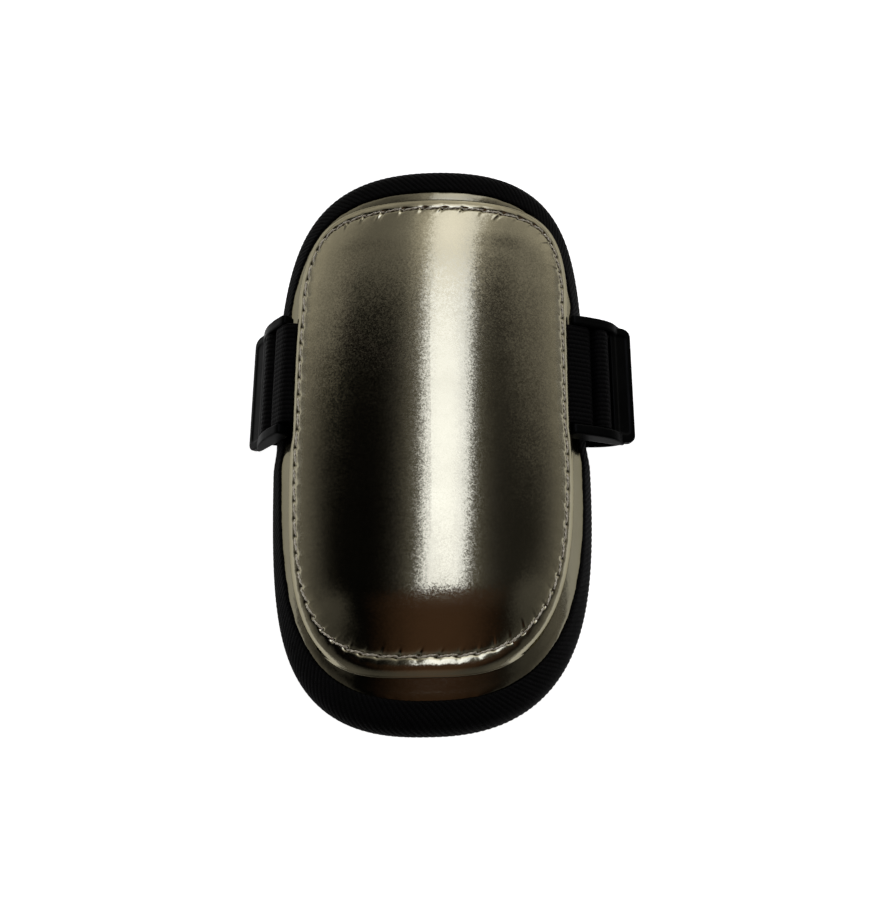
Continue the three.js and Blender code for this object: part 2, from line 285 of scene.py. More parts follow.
def ramp(t, value, stops):
    n = t.nodes.new("ShaderNodeValToRGB")
    e = n.color_ramp.elements
    while len(e) < len(stops):
        e.new(0.5)
    for item, (at, colour) in zip(e, stops):
        item.position = at
        item.color = (*colour, 1)
    t.links.new(value, n.inputs["Fac"])
    return n.outputs["Color"]


def metallic_leather(name, shade):
    """Coated leather: a broad cloudiness, shallow waves and a grain of tiny facets. Its base colour is scaled by
    shade; below 1 that gives a darker copy of the same leather, which is painted shade.
    """
    m, t, b = material(name)
    at = t.nodes.new("ShaderNodeTexCoord").outputs["Object"]
    broad = noise(t, at, 45.0, 3.0)
    cloud = noise(t, at, 200.0, 1.0)
    grain = noise(t, at, 2100.0, 1.0)
    cell = t.nodes.new("ShaderNodeTexVoronoi")
    cell.inputs["Scale"].default_value = 2300.0
    t.links.new(at, cell.inputs["Vector"])
    tone = maths(t, "ADD", broad, remap(t, cell.outputs["Color"], 0.0, 1.0, -0.07, 0.07))
    t.links.new(
        ramp(t, tone, [(0.10, [c * shade for c in (0.240, 0.223, 0.161)]), (0.90, [c * shade for c in (0.312, 0.292, 0.214)])]),
        b.inputs["Base Color"],
    )
    b.inputs["Metallic"].default_value = 1.0
    b.inputs["Specular Tint"].default_value = (0.50, 0.48, 0.42, 1.0)
    t.links.new(remap(t, grain, 0.3, 0.7, 0.10, 0.15), b.inputs["Roughness"])
    n0 = bump(t, cloud, 0.04, 0.00022)
    n1 = bump(t, grain, 0.14, 0.00005, n0)
    off = t.nodes.new("ShaderNodeVectorMath")
    off.operation = "SUBTRACT"
    t.links.new(cell.outputs["Color"], off.inputs[0])
    off.inputs[1].default_value = (0.5, 0.5, 0.5)
    tilt = t.nodes.new("ShaderNodeVectorMath")
    tilt.operation = "MULTIPLY_ADD"
    t.links.new(off.outputs["Vector"], tilt.inputs[0])
    tilt.inputs[1].default_value = (0.036, 0.036, 0.036)
    t.links.new(n1, tilt.inputs[2])
    unit = t.nodes.new("ShaderNodeVectorMath")
    unit.operation = "NORMALIZE"
    t.links.new(tilt.outputs["Vector"], unit.inputs[0])
    t.links.new(unit.outputs["Vector"], b.inputs["Normal"])
    return m


def thread():
    m, t, b = material("seam_thread")
    at = t.nodes.new("ShaderNodeTexCoord").outputs["Object"]
    f = noise(t, at, 1800.0, 2.0)
    t.links.new(
        ramp(t, f, [(0.3, (0.50, 0.47, 0.37)), (0.7, (0.72, 0.68, 0.56))]), b.inputs["Base Color"]
    )
    b.inputs["Metallic"].default_value = 0.0
    b.inputs["Roughness"].default_value = 0.42
    b.inputs["Sheen Weight"].default_value = 0.15
    t.links.new(bump(t, f, 0.4, 0.00008), b.inputs["Normal"])
    return m


def woven(name, dark, light, dashes, ribs, depth, rough):
    """Black yarn cloth on the piece's own map: ribs, each laid up from short yarn floats. Its colour follows the
    weave's height and is darker in the grooves, which is painted shade, with a random wear tone on top.
    """
    m, t, b = material(name)
    uv = t.nodes.new("ShaderNodeUVMap")
    uv.uv_map = "weave"
    sep = t.nodes.new("ShaderNodeSeparateXYZ")
    t.links.new(uv.outputs["UV"], sep.inputs[0])
    at = t.nodes.new("ShaderNodeTexCoord").outputs["Object"]
    rib = maths(t, "ABSOLUTE", maths(t, "SINE", maths(t, "MULTIPLY", sep.outputs["Y"], math.pi * ribs)))
    shift = maths(t, "MULTIPLY", maths(t, "FLOOR", maths(t, "MULTIPLY", sep.outputs["Y"], ribs)), 0.37)
    run = maths(t, "ADD", maths(t, "MULTIPLY", sep.outputs["X"], dashes), shift)
    float_ = maths(t, "ABSOLUTE", maths(t, "SINE", maths(t, "MULTIPLY", run, math.pi)))
    cloth = maths(t, "MULTIPLY", maths(t, "POWER", rib, 0.7), maths(t, "POWER", float_, 0.35))
    fibre = noise(t, at, 2600.0, 2.0)
    wear = noise(t, at, 60.0, 3.0)
    height = maths(t, "ADD", cloth, maths(t, "MULTIPLY", fibre, 0.35))
    # Colour follows the weave's height: the grooves between ribs and floats are painted shade, and the wear noise is a
    # random tone.
    tone = maths(t, "MULTIPLY", cloth, remap(t, wear, 0.3, 0.7, 0.75, 1.0))
    t.links.new(ramp(t, tone, [(0.15, dark), (0.95, light)]), b.inputs["Base Color"])
    b.inputs["Roughness"].default_value = rough
    b.inputs["Sheen Weight"].default_value = 0.004
    b.inputs["Sheen Roughness"].default_value = 0.4
    b.inputs["Specular IOR Level"].default_value = 0.04
    t.links.new(bump(t, height, 0.8, depth), b.inputs["Normal"])
    return m


def black_plastic():
    m, t, b = material("black_plastic")
    at = t.nodes.new("ShaderNodeTexCoord").outputs["Object"]
    f = noise(t, at, 1100.0, 2.0)
    w = noise(t, at, 120.0, 3.0)
    t.links.new(
        ramp(t, w, [(0.3, (0.0005, 0.0007, 0.0007)), (0.7, (0.0010, 0.0013, 0.0013))]),
        b.inputs["Base Color"],
    )
    t.links.new(remap(t, w, 0.3, 0.7, 0.34, 0.46), b.inputs["Roughness"])
    b.inputs["Specular IOR Level"].default_value = 0.03
    t.links.new(bump(t, f, 0.12, 0.00006), b.inputs["Normal"])
    return m


def lining():
    m, t, b = material("black_lining")
    at = t.nodes.new("ShaderNodeTexCoord").outputs["Object"]
    v = t.nodes.new("ShaderNodeTexVoronoi")
    v.inputs["Scale"].default_value = 620.0
    t.links.new(at, v.inputs["Vector"])
    f = noise(t, at, 2200.0, 2.0)
    # Colour is darker at the cell borders, where the bump sinks: painted shade in the knit's hollows.
    t.links.new(
        ramp(t, v.outputs["Distance"], [(0.1, (0.020, 0.020, 0.022)), (0.7, (0.008, 0.008, 0.009))]),
        b.inputs["Base Color"],
    )
    b.inputs["Roughness"].default_value = 0.88
    b.inputs["Sheen Weight"].default_value = 0.25
    h = maths(t, "SUBTRACT", maths(t, "MULTIPLY", f, 0.4), v.outputs["Distance"])
    t.links.new(bump(t, h, 0.6, 0.00025), b.inputs["Normal"])
    return m


LEATHER = metallic_leather("metallic_leather", 1.0)
# The pad is the same leather as the panel with its colour painted darker by 0.62: painted shade on the pad's leather,
# so it mirrors less of the bright floor.
SHADED_PAD_LEATHER = metallic_leather("metallic_leather_pad_painted_shade", 0.62)
THREAD = thread()
# Each cloth's first colour is the painted shade in the weave's grooves, and its second colour is the crests.
TAPE = woven("black_binding", (0.0004, 0.0004, 0.0005), (0.0042, 0.0042, 0.0045), 2.2, 1.0, 0.00018, 0.7)
WEB = woven("black_webbing", (0.0001, 0.0001, 0.0002), (0.0012, 0.0012, 0.0017), 1.0, 1.0, 0.00016, 0.62)
PLASTIC = black_plastic()
LINING = lining()

# ------------------------------------------------------------------ raised panel
# From the underside round a thin turned edge and up the side of the roll; by side and near end.
EDGE_SIDE = [
    (1.4, 0.22), (0.6, 0.22), (0.12, 0.25), (-0.06, 0.46), (-0.02, 0.85), (0.14, 1.28),
    (0.36, 1.78), (0.62, 2.40), (1.0, 3.10), (1.55, 3.82), (2.1, 4.35), (2.5, 4.62),
]
EDGE_NEAR = [
    (1.2, 0.20), (0.2, 0.20), (-0.42, 0.22), (-0.60, 0.36), (-0.56, 0.50), (-0.40, 0.58), (-0.10, 0.74), (0.35, 1.02),
    (0.80, 1.29), (1.25, 1.54), (1.70, 1.74), (2.1, 1.86), (2.5, 1.92),
]
# Height over the pad by inset: roll, seam, then the filled face.
FACE_SIDE = [
    (2.5, 4.62), (3.2, 4.95), (4.0, 5.18), (5.0, 5.32), (6.0, 5.38), (7.0, 5.46), (8.2, 5.58), (9.5, 5.70),
    (12.0, 5.88), (16.0, 6.09), (22.0, 6.30), (30.0, 6.48), (40.0, 6.61), (50.0, 6.65), (90.0, 6.65),
]
FACE_NEAR = [
    (2.5, 1.92), (3.0, 1.95), (3.6, 1.95), (4.2, 1.92), (4.8, 1.88), (5.4, 1.84), (5.8, 1.82), (6.3, 1.96),
    (7.0, 2.26), (8.2, 2.76), (9.5, 3.24), (12.0, 4.06), (16.0, 5.17), (20.0, 6.00), (22.0, 6.23), (24.0, 6.395),
    (26.0, 6.51), (28.0, 6.58), (31.0, 6.63), (36.0, 6.65), (90.0, 6.65),
]
FACE_FAR = [
    (2.5, 4.50), (3.2, 4.82), (4.0, 5.04), (5.0, 5.18), (6.0, 5.24), (7.0, 5.32), (8.2, 5.44), (9.5, 5.56),
    (12.0, 5.76), (16.0, 6.01), (22.0, 6.27), (30.0, 6.48), (40.0, 6.61), (52.0, 6.65), (90.0, 6.65),
]
STITCH_SEED = RNG.uniform(-1, 1, (STITCHES, 6))


FACE_CURVES = [smooth_curve(t, 4000) for t in (FACE_SIDE, FACE_NEAR, FACE_FAR)]


def end_shares(out):
    """How much a place belongs to the near and the far end, by its outward direction."""
    return np.clip(-out[:, 1], 0, 1) ** 2.4, np.clip(out[:, 1], 0, 1) ** 1.6


def face_height(d, near, far):
    side_h, near_h, far_h = (np.interp(d, *k.T) for k in FACE_CURVES)
    return side_h * (1 - near - far) + near_h * near + far_h * far


def middle_height(u, v):
    """Height of the filled middle: the falls to both sides and both ends, added up."""
    o = OUTLINES["panel"]
    y = v - PATTERN_CENTRE
    side = o["half"] * (1 + TAPER * v / 100) - np.abs(u - o["sweep"] * v / 100)
    top = FACE_SIDE[-1][1]
    falls = [top - np.interp(d, *k.T) for d, k in zip((side, y + o["near"], o["far"] - y), FACE_CURVES)]
    return top - sum(falls)


def panel_height(u, v, d, near, far):
    """Height of the leather without its seam: by inset at the edge, by place in the middle."""
    w = np.clip((d - 10.0) / 14.0, 0, 1)
    w = w * w * (3 - 2 * w)
    return face_height(d, near, far) * (1 - w) + middle_height(u, v) * w


def seam_pull(s, d, pitch, ends):
    """Height change by the seam: s counts stitches, d is the inset in mm, ends how near an end."""
    off = d - SEAM_INSET
    i = np.round(s).astype(int) % STITCHES
    f = (s - np.round(s)) * pitch  # mm from the nearest hole
    kind = STITCH_SEED[i]
    tight = 0.30 + 0.70 * ends
    # A hole drawn out into a short slanted slit, with its floor below the thread.
    e = f - (0.45 + 0.25 * kind[..., 1]) * off
    hole = -tight * (0.74 + 0.22 * kind[..., 0]) * np.exp(-((e / 0.85) ** 2) - ((off - 0.05) / 0.50) ** 2)
    channel = -(0.10 + 0.12 * ends) * np.exp(-((off / 0.75) ** 2))
    # Little creases that run in from each hole at a slant, a fold beside a furrow.
    reach = (1.6 + 0.8 * kind[..., 2]) * (1 + 0.2 * ends)
    fade_in = np.where(off > 0, np.exp(-((off / reach) ** 2)), np.exp(-((off / 0.45) ** 2)))
    crease = tight * (0.20 + 0.10 * kind[..., 3]) * fade_in * (
        np.exp(-(((e - 0.95) / 0.60) ** 2)) - 0.9 * np.exp(-((e / 0.55) ** 2))
    )
    e_out = f + (0.35 + 0.3 * kind[..., 4]) * off
    fade_out = np.where(off < 0, np.exp(-((off / 1.7) ** 2)), np.exp(-((off / 0.4) ** 2)))
    crease_out = -tight * (0.14 + 0.09 * kind[..., 5]) * fade_out * np.exp(-((e_out / 0.70) ** 2))
    puff = 0.06 * (1 - np.cos(2 * np.pi * f / pitch)) * np.exp(-np.abs(off) / 1.8)
    return hole + channel + crease + crease_out + puff


def panel_ring(pat, s, pitch, d):
    """One ring of the panel's outer face at an inset."""
    u, v = pat.flat(d)
    near, far = end_shares(pat.out)
    h = panel_height(u, v, d, near, far)
    h = h + seam_pull(s, d, pitch, near + far) + 0.03 * soft_noise(u, v, 3, 34.0, 2)
    return on_arch(u, v, h)


def halve(first, n, second):
    """Five-sided faces that step from a ring of n points to one of n / 2."""
    k = np.arange(n // 2)
    return np.stack(
        [first + 2 * k, first + 2 * k + 1, first + (2 * k + 2) % n, second + (k + 1) % (n // 2), second + k], 1
    ).tolist()


def build_panel():
    many = STITCHES * 18
    few = many // 2
    fine, coarse = Pattern("panel", many), Pattern("panel", few)
    s_fine, s_coarse = np.arange(many) / many * STITCHES, np.arange(few) / few * STITCHES
    pitch = fine.length / STITCHES * 0.955
    points, faces, at = [], [], 0

    def add(rows):
        nonlocal at
        first = at
        points.extend(rows)
        faces.extend(ring_faces(len(rows), len(rows[0]), first).tolist())
        at += sum(len(r) for r in rows)
        return first, at - len(rows[-1])

    full = np.ones(few)
    u, v = coarse.flat(12.0 * full)
    mid = np.clip(v, -44, 46)
    rows = [on_arch(u * w, mid + (v - mid) * w, 0.22) for w in (0.0, 0.5, 1.0)]
    rows.append(on_arch(*coarse.flat(6.0 * full), 0.22))
    near, far = end_shares(coarse.out)
    pick = np.round(np.linspace(0, 1, 50) ** 1.4 * 999).astype(int)  # closer rows at the thin lip
    for a, b in list(zip(smooth_curve(EDGE_SIDE, 1000)[pick], smooth_curve(EDGE_NEAR, 1000)[pick]))[:-1]:
        d = a[0] * (1 - near) + b[0] * near
        h = a[1] * (1 - near) + b[1] * near
        blend = np.clip((d - 1.0) / 1.5, 0, 1) * (h > 0.9)
        u, v = coarse.flat(d)
        lift = h + blend * (seam_pull(s_coarse, d, pitch, near + far) + 0.03 * soft_noise(u, v, 3, 34.0, 2))
        rows.append(on_arch(u, v, lift))
    _, edge_last = add(rows)
    rows = [panel_ring(fine, s_fine, pitch, d * np.ones(many)) for d in np.linspace(2.5, 9.6, 30)]
    fine_first, fine_last = add(rows)
    faces.extend([f[::-1] for f in halve(fine_first, many, edge_last)])
    rows = [panel_ring(coarse, s_coarse, pitch, d * full) for d in np.linspace(9.9, 12.0, 4)]
    u12, v12 = coarse.flat(12.0 * full)
    spine = np.clip(v12, -44.0, 46.0)
    across = np.hypot(u12, v12 - spine)
    for w in np.linspace(0, 1, 30)[1:]:
        u, v = u12 * (1 - w), v12 + (spine - v12) * w
        h = panel_height(u, v, 12.0 + w * across, near, far) + 0.03 * soft_noise(u, v, 3, 34.0, 2)
        rows.append(on_arch(u, v, h))
    first, _ = add(rows)
    faces.extend(halve(fine_last, many, first))
    ob = new_object("panel_leather", np.concatenate(points), faces)
    weld(ob)
    ob.data.materials.append(LEATHER)
    return ob


def build_stitches():
    """Two plies twisted together, one short arch of thread for each stitch."""
    dense = 14800
    pat = Pattern("panel", dense)
    near, far = end_shares(pat.out)
    seg, sides = 30, 8
    points, faces, base = [], [], 0
    f = np.linspace(0.0, 1.0, seg)
    ang = np.linspace(0, 2 * np.pi, sides, endpoint=False)
    for i in range(STITCHES):
        kind = STITCH_SEED[i]
        inset = SEAM_INSET + (0.34 + 0.14 * kind[3]) * (f - 0.5) * 2 + 0.10 * kind[1]
        k = np.floor((i + f) / STITCHES * dense).astype(int) % dense
        p = pat.q[k] - pat.out[k] * inset[:, None]
        v = p[:, 1] + PATTERN_CENTRE
        u = p[:, 0] * (1 + TAPER * v / 100)
        u = u - np.sign(u) * strap_dent(v) * DENT_PANEL * (p[:, 0] / 52) ** 2 + OUTLINES["panel"]["sweep"] * v / 100
        rise = face_height(inset, near[k], far[k]) + 0.05 - (0.95 + 0.2 * kind[0]) * np.abs(2 * f - 1) ** 3
        mid = on_arch(u, v, rise)
        up = on_arch(u, v, rise + 1.0) - mid
        go = np.gradient(mid, axis=0)
        go /= np.linalg.norm(go, axis=1, keepdims=True)
        side = np.cross(go, up)
        side /= np.linalg.norm(side, axis=1, keepdims=True)
        up = np.cross(side, go)
        for ply in (0.0, math.pi):
            turn = 2 * np.pi * 1.6 * f + ply + 2.0 * kind[2]
            axis = mid + 0.16 * (np.cos(turn)[:, None] * side + np.sin(turn)[:, None] * up)
            loop = axis[:, None, :] + 0.22 * (
                np.cos(ang)[None, :, None] * side[:, None, :] + np.sin(ang)[None, :, None] * up[:, None, :]
            )
            points.append(loop.reshape(-1, 3))
            faces += ring_faces(seg, sides, base).tolist()
            faces.append([base + j for j in range(sides)][::-1])
            faces.append([base + (seg - 1) * sides + j for j in range(sides)])
            base += seg * sides
    ob = new_object("panel_stitches", np.concatenate(points), faces)
    bm = bmesh.new()
    bm.from_mesh(ob.data)
    bmesh.ops.recalc_face_normals(bm, faces=bm.faces)
    bm.to_mesh(ob.data)
    bm.free()
    ob.data.materials.append(THREAD)
    return ob


# ------------------------------------------------------------------ base pad
PAD_UNDER_EDGE = [(24.0, -8.8), (15.0, -8.85), (11.0, -8.75), (9.6, -8.4), (8.7, -7.7)]
PAD_RIM = [(3.3, -7.6), (1.2, -6.9), (0.0, -4.4), (1.2, -1.9), (3.3, -1.2), (8.0, -1.2)]
PAD_FACE_EDGE = [(7.7, -1.0), (8.1, -0.62), (8.5, -0.33), (9.0, -0.14), (9.7, -0.04), (10.6, 0.0), (11.8, 0.0)]


def build_pad():
    count = 720
    rim = Pattern("rim", count)
    pan = Pattern("panel", count)
    full = np.ones(count)
    rows, kind = [], []
    along = np.arange(count) / count * rim.length

    u24, v24 = rim.flat(24.0 * full)
    spine = np.clip(v24, -52.0, 50.0)
    for w in np.linspace(1, 0, 14)[:-1]:
        u, v = u24 * (1 - w), v24 + (spine - v24) * w
        rows.append(on_arch(u, v, -8.8 + 0.10 * soft_noise(u, v, 8, 30.0)))
        kind.append(1)
    for d, h in smooth_curve(PAD_UNDER_EDGE, 12):
        u, v = rim.flat(d * full)
        rows.append(on_arch(u, v, h + 0.10 * soft_noise(u, v, 8, 30.0) * np.clip((d - 9.5) / 8, 0, 1)))
        kind.append(1)
    for d, h in PAD_RIM:
        rows.append(on_arch(*rim.flat(d * full), h))
        kind.append(1)
    gather = 0.10 * soft_noise(along, np.zeros(count), 15, 9.0, 2)
    fall = np.clip(-rim.out[:, 1], 0, 1) ** 1.6
    for d, h in smooth_curve(PAD_FACE_EDGE, 12):
        u, v = rim.flat(d * full)
        ease = np.exp(-(((d - 8.6) / 1.3) ** 2))
        low = -fall * (0.40 + 0.07 * (11.8 - d)) * np.clip((d - 7.7) / 0.7, 0, 1)
        rows.append(on_arch(u, v, h + low + gather * ease + 0.03 * soft_noise(u, v, 5, 18.0)))
        kind.append(0)
    ua, va = rim.flat(11.8 * full)
    ub, vb = pan.flat(4.0 * full)
    for w in np.linspace(0, 1, 12)[1:]:
        u, v = ua + (ub - ua) * w, va + (vb - va) * w
        low = fall * (-0.40 + 0.80 * w)
        rows.append(on_arch(u, v, low + 0.03 * soft_noise(u, v, 5, 18.0)))
        kind.append(0)
    u9, v9 = pan.flat(12.0 * full)
    spine = np.clip(v9, -44.0, 46.0)
    for w in (0.0, 0.25, 0.5, 0.75, 1.0):
        rows.append(on_arch(u9 * (1 - w), v9 + (spine - v9) * w, 0.0))
        kind.append(0)
    ob = new_object("pad_body", np.concatenate(rows), ring_faces(len(rows), count).tolist())
    ob.data.materials.append(SHADED_PAD_LEATHER)
    ob.data.materials.append(LINING)
    split = (len([k for k in kind if k]) - 0.5) * count
    mats = np.zeros(len(ob.data.polygons), int)
    first = np.zeros(len(ob.data.loops), int)
    ob.data.loops.foreach_get("vertex_index", first)
    starts = np.zeros(len(ob.data.polygons), int)
    ob.data.polygons.foreach_get("loop_start", starts)
    mats[first[starts] < split - count] = 1
    ob.data.polygons.foreach_set("material_index", mats)
    weld(ob)
    return ob


# ------------------------------------------------------------------ binding tape
TAPE_OUTER = [
    (8.60, -0.72), (8.70, -0.25), (8.52, 0.16), (8.0, 0.31), (6.2, 0.36), (4.2, 0.34), (2.2, 0.05),
    (0.5, -0.72), (-0.75, -2.1), (-1.42, -4.4), (-0.75, -6.7), (0.5, -8.1), (2.2, -8.85), (4.2, -9.14),
    (6.2, -9.16), (8.0, -9.11), (8.52, -8.96), (8.70, -8.55), (8.60, -8.08),
]
TAPE_INNER = [
    (8.3, -7.9), (5.5, -7.9), (3.2, -7.9), (1.0, -7.2), (-0.3, -4.4), (1.0, -1.6), (3.2, -0.9), (5.5, -0.9), (8.3, -0.9),
]


def build_tape():
    count = 1960
    rim = Pattern("rim", count)
    outer = smooth_curve(TAPE_OUTER, 38)
    run = np.concatenate([[0], np.cumsum(np.hypot(*np.diff(outer, axis=0).T))])
    tang = np.gradient(outer, axis=0)
    tang /= np.linalg.norm(tang, axis=1, keepdims=True)
    normal = np.stack([-tang[:, 1], tang[:, 0]], 1)  # inset, height
    if normal[len(normal) // 4, 1] < 0:
        normal = -normal
    along = np.arange(count) / count * rim.length
    ribs = round(rim.length / 2.2)
    wave = rim.length / ribs
    rows, maps = [], []
    wander = 0.16 * soft_noise(along, np.zeros(count), 31, 40.0, 2)
    for (d, h), n, c in zip(outer, normal, run):
        phase = 2 * np.pi * (along - c) / wave
        rib = 0.11 * (np.abs(np.sin(phase / 2)) * 2 - 1.27)
        fade = math.sin(math.pi * min(1, max(0, c / run[-1]))) ** 0.25
        off = rib * fade
        edge = 1.0 if (c < 2 or c > run[-1] - 2) else 0.0
        u, v = rim.flat(d + off * n[0] + wander * edge)
        place = on_arch(u, v, h + off * n[1])
        place[:, 2] = np.maximum(place[:, 2], 0.0)
        rows.append(place)
        maps.append(np.stack([(along + c) / wave, (along - c) / wave], 1))
    for j, (d, h) in enumerate(TAPE_INNER):
        rows.append(on_arch(*rim.flat(np.full(count, d)), h))
        maps.append(np.stack([(along + run[-1] + 3 * j) / wave, (along - run[-1] - 3 * j) / wave], 1))
    rows.append(rows[0])
    maps.append(maps[0])
    n = len(rows) - 1
    faces = ring_faces(n, count)
    k = np.arange(count)
    last, first = (n - 1) * count, 0
    closing = np.stack([last + k, last + (k + 1) % count, first + (k + 1) % count, first + k], 1)
    ob = new_object("rim_tape", np.concatenate(rows[:-1]), np.concatenate([faces, closing]).tolist())
    add_map(ob, "weave", np.concatenate(maps[:-1]))
    bm = bmesh.new()
    bm.from_mesh(ob.data)
    bmesh.ops.recalc_face_normals(bm, faces=bm.faces)
    bm.to_mesh(ob.data)
    bm.free()
    ob.data.materials.append(TAPE)
    return ob


# ------------------------------------------------------------------ buckles and webbing
BUCKLE = dict(width=46.0, rail=3.4, bar1=(3.1, 0.0, 1.1), bar2=(9.8, -0.2, 1.3), flat=0.7, plate=(14.4, 22.6, 2.0))
SIDES = {
    "right": dict(sign=1, x=50.4, z=-17.6, tilt=math.radians(20), reach=(1.9, 0.9)),
    "left": dict(sign=-1, x=50.4, z=-17.4, tilt=math.radians(52), reach=(0.0, 0.0)),
}
STRAP_THICK, TAB_THICK, BAND_WIDTH = 1.4, 1.2, 38.1
SLOT_GAP = 0.4


def set_frame(side):
    """Matrix in mm from a buckle's own frame to the shared frame."""
    turn = Matrix.Rotation(0 if side["sign"] > 0 else math.pi, 4, "Z")
    lift = Matrix.Translation((side["x"], 0, CROWN + side["z"]))
    tilt = Matrix.Rotation(side["tilt"], 4, "Y")
    skew = Matrix.Rotation(STRAP_SKEW, 4, "Z")
    where = Matrix.Translation((FRAME_X, STRAP_Y + FRAME_Y, 0))
    return where @ skew @ turn @ lift @ tilt


def move(points, matrix):
    m = np.array(matrix)
    return np.asarray(points) @ m[:3, :3].T + m[:3, 3]


def arc(cx, cz, r, a0, a1, n):
    a = np.radians(np.linspace(a0, a1, n))
    return np.stack([cx + r * np.cos(a), cz + r * np.sin(a)], 1)


def add_prism(bm, outline, y0, y1):
    lo = [bm.verts.new((x, y0, z)) for x, z in outline]
    hi = [bm.verts.new((x, y1, z)) for x, z in outline]
    bm.faces.new(lo)
    bm.faces.new(hi[::-1])
    n = len(lo)
    for i in range(n):
        bm.faces.new((lo[i], hi[i], hi[(i + 1) % n], lo[(i + 1) % n]))


def add_slab(bm, outline, z0, z1):
    lo = [bm.verts.new((x, y, z0)) for x, y in outline]
    hi = [bm.verts.new((x, y, z1)) for x, y in outline]
    bm.faces.new(lo[::-1])
    bm.faces.new(hi)
    n = len(lo)
    for i in range(n):
        bm.faces.new((lo[i], lo[(i + 1) % n], hi[(i + 1) % n], hi[i]))


def rounded(x0, x1, y0, y1, r_in, r_out):
    """Plan outline with its own corner radius at the inner and outer ends."""
    pts = []
    for cx, cy, r, a in (
        (x1 - r_out, y0 + r_out, r_out, -90), (x1 - r_out, y1 - r_out, r_out, 0),
        (x0 + r_in, y1 - r_in, r_in, 90), (x0 + r_in, y0 + r_in, r_in, 180),
    ):
        pts += [(cx + r * math.cos(math.radians(a + 15 * k)), cy + r * math.sin(math.radians(a + 15 * k))) for k in range(7)]
    return pts


RAIL_TOP = {
    1: [(-0.5, 1.7), (-0.15, 2.45), (1.2, 2.88), (3.5, 3.0), (7.0, 3.05), (10.5, 2.95), (13.0, 2.55), (15.4, 1.65), (17.2, 0.4), (18.6, -0.5)],
    -1: [(-0.5, 1.7), (-0.15, 2.45), (1.2, 2.88), (3.5, 3.0), (7.0, 3.0), (10.5, 2.6), (13.2, 1.9), (15.6, 0.95), (17.4, -0.1), (18.6, -0.6)],
}


def build_buckle(name, side):
    b = BUCKLE
    half = b["width"] / 2
    bm = bmesh.new()
    top = smooth_curve(RAIL_TOP[side["sign"]], 26)
    outline = [(-0.5, 0.5), (0.5, -2.1), (1.2, -2.35), (17.6, -2.1), (18.6, -1.8)] + [tuple(p) for p in top[::-1]]
    outline = [(float(x), float(z)) for x, z in outline][::-1]
    for s, reach in zip((-1, 1), side["reach"]):
        y0, y1 = sorted((s * half, s * (half - b["rail"] - 0.35)))
        add_prism(bm, [(x - reach if x < 1.0 else x, z) for x, z in outline], y0, y1)
    for cx, cz, r in (b["bar1"], b["bar2"]):
        round_bar = np.concatenate([arc(cx + b["flat"], cz, r, -90, 90, 12), arc(cx, cz, r, 90, 270, 12)])
        add_prism(bm, [tuple(p) for p in round_bar][::-1], -half + 0.5, half - 0.5)
    x0, x1, thick = b["plate"]
    plate = bmesh.new()
    wide = half - 0.7
    add_slab(plate, rounded(x0, x1, -wide, wide, 0.8, 3.0), -thick, 0.0)
    add_slab(plate, rounded(x0 + 0.1, x1, -wide, wide, 0.8, 3.0), -0.5, 0.0)
    me = bpy.data.meshes.new("plate")
    plate.to_mesh(me)
    plate.free()
    bm.from_mesh(me)
    bpy.data.meshes.remove(me)
    # A raised border round the plate's outer face.
    ring_out = rounded(x0 + 0.2, x1, -wide + 0.05, wide - 0.05, 0.8, 3.0)
    ring_in = rounded(x0 + 2.0, x1 - 1.7, -half + 3.6, half - 3.6, 0.8, 1.8)
    lo_o = [bm.verts.new((x, y, -0.6)) for x, y in ring_out]
    hi_o = [bm.verts.new((x, y, 0.32)) for x, y in ring_out]
    lo_i = [bm.verts.new((x, y, -0.6)) for x, y in ring_in]
    hi_i = [bm.verts.new((x, y, 0.32)) for x, y in ring_in]
    n = len(ring_out)
    for i in range(n):
        j = (i + 1) % n
        bm.faces.new((lo_o[i], lo_o[j], hi_o[j], hi_o[i]))
        bm.faces.new((lo_i[j], lo_i[i], hi_i[i], hi_i[j]))
        bm.faces.new((hi_o[i], hi_o[j], hi_i[j], hi_i[i]))
        bm.faces.new((lo_i[i], lo_i[j], lo_o[j], lo_o[i]))
    bmesh.ops.recalc_face_normals(bm, faces=bm.faces)
    me = bpy.data.meshes.new(name)
    bm.to_mesh(me)
    bm.free()
    me.transform(Matrix.Scale(MM, 4))
    ob = bpy.data.objects.new(name, me)
    bpy.context.scene.collection.objects.link(ob)
    mod = ob.modifiers.new("cast", "REMESH")
    mod.mode = "VOXEL"
    mod.voxel_size = 0.00030
    mod.adaptivity = 0.0
    ease = ob.modifiers.new("ease", "SMOOTH")
    ease.factor = 0.5
    ease.iterations = 7
    ob = apply_all(ob)
    m = set_frame(side)
    m = Matrix.Translation(m.translation * MM) @ m.to_3x3().to_4x4()
    ob.data.transform(m)
    ob.data.polygons.foreach_set("use_smooth", np.ones(len(ob.data.polygons), bool))
    ob.data.materials.append(PLASTIC)
    return ob


def apply_all(ob):
    deps = bpy.context.evaluated_depsgraph_get()
    me = bpy.data.meshes.new_from_object(ob.evaluated_get(deps))
    old = ob.data
    ob.modifiers.clear()
    ob.data = me
    bpy.data.meshes.remove(old)
    return ob


def even_path(path, step):
    p = np.asarray(path, float)
    run = np.concatenate([[0], np.cumsum(np.hypot(*np.diff(p, axis=0).T))])
    keep = np.concatenate([[True], np.diff(run) > 1e-6])
    p, run = p[keep], run[keep]
    n = max(2, int(round(run[-1] / step)) + 1)
    want = np.linspace(0, run[-1], n)
    q = np.stack([np.interp(want, run, p[:, i]) for i in (0, 1)], 1)
    for _ in range(2):
        q[1:-1] = 0.25 * q[:-2] + 0.5 * q[1:-1] + 0.25 * q[2:]
    return q, want


RIBS = 22


